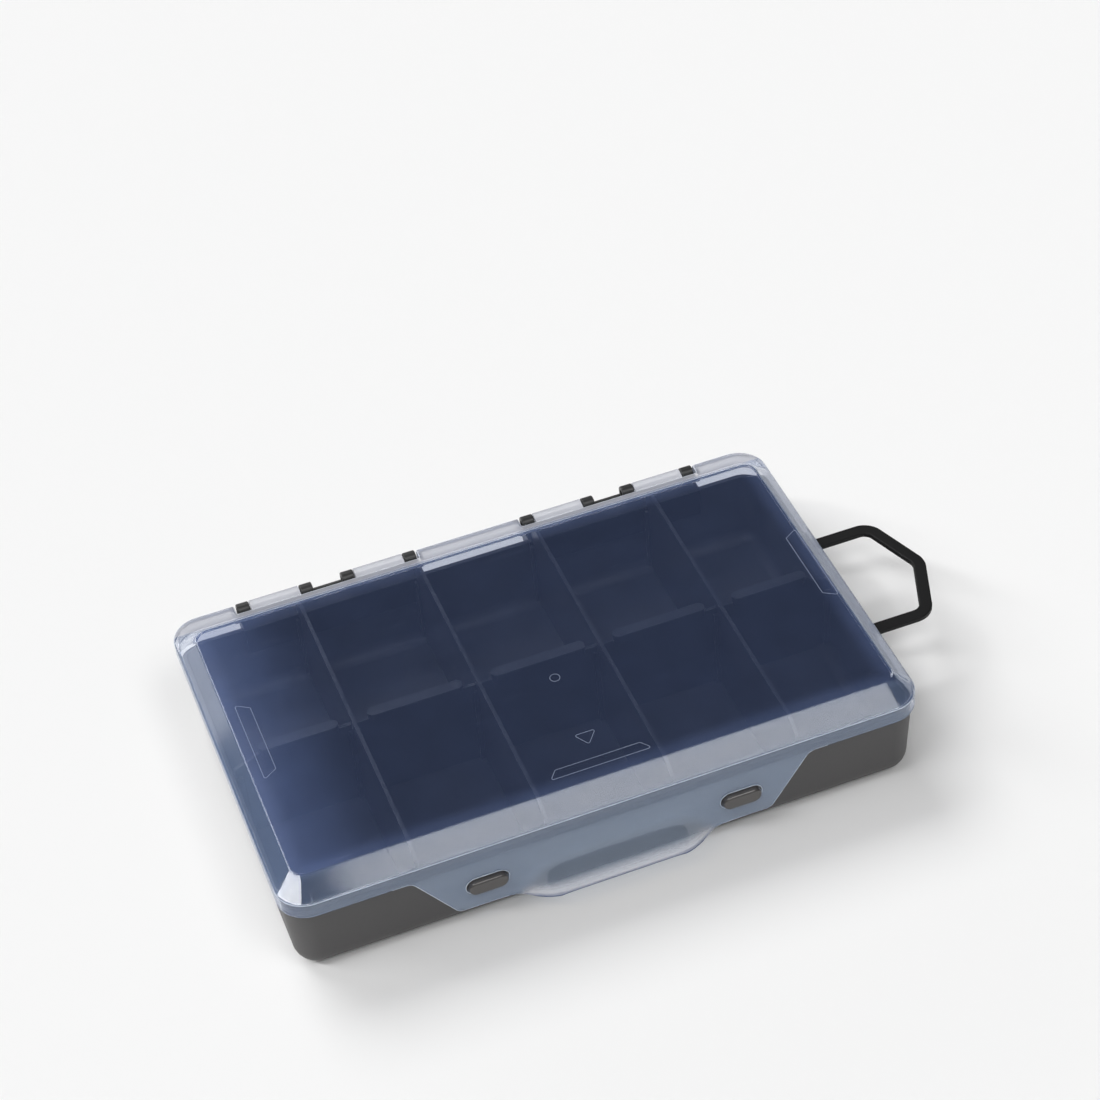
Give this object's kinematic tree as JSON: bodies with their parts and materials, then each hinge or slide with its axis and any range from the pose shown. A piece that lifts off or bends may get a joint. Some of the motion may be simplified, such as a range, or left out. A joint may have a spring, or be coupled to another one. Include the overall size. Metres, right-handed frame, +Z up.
{
  "type": "hinged lure box",
  "caption": "Flat hinged box with a tinted clear lid, lift-out dividers forming compartments, a springy latch flap and a folding hang loop.",
  "frame": {"origin": "on the underside of the tray, below the middle of the lid's rim", "axes": "+X along the length towards the loop, +Y to the hinge, +Z up through the lid"},
  "size_m": [0.3175, 0.1841, 0.0505],
  "materials": {
    "tray_plastic": "fine-textured dark grey moulding",
    "divider_plastic": "smooth black moulding",
    "stud_plastic": "polished dark bronze grey",
    "clear_plastic": "clear, faintly blue, glossy",
    "loop_plastic": "matte black"
  },
  "bodies": {
    "tray": {"base_tray": "tray_plastic", "latch_stud_left": "stud_plastic", "latch_stud_right": "stud_plastic", "long_divider_1": "divider_plastic", "long_divider_2": "divider_plastic", "long_divider_3": "divider_plastic", "long_divider_4": "divider_plastic", "short_divider_1": "divider_plastic", "short_divider_2": "divider_plastic", "short_divider_3": "divider_plastic", "short_divider_4": "divider_plastic", "short_divider_5": "divider_plastic"},
    "lid": {"lid": "clear_plastic"},
    "latch_flap": {"latch_flap": "clear_plastic"},
    "carry_loop": {"carry_loop": "loop_plastic"}
  },
  "joints": [
    {"name": "lid_hinge", "type": "hinge", "parent": "tray", "child": "lid", "pos_m": [0, 0.0855, 0.0416], "axis": [-1, 0, 0], "range_deg": [0, 180]},
    {"name": "latch_flap_flex", "type": "hinge", "parent": "lid", "child": "latch_flap", "pos_m": [0, -0.0869, 0.0365], "axis": [-1, 0, 0], "range_deg": [0, 14], "stiffness_Nm_per_rad": 1.2, "deforming": ["latch_flap"]},
    {"name": "loop_pivot", "type": "hinge", "parent": "tray", "child": "carry_loop", "pos_m": [0.1388, 0, 0.03], "axis": [0, 1, 0], "range_deg": [-75, 90]}
  ]
}
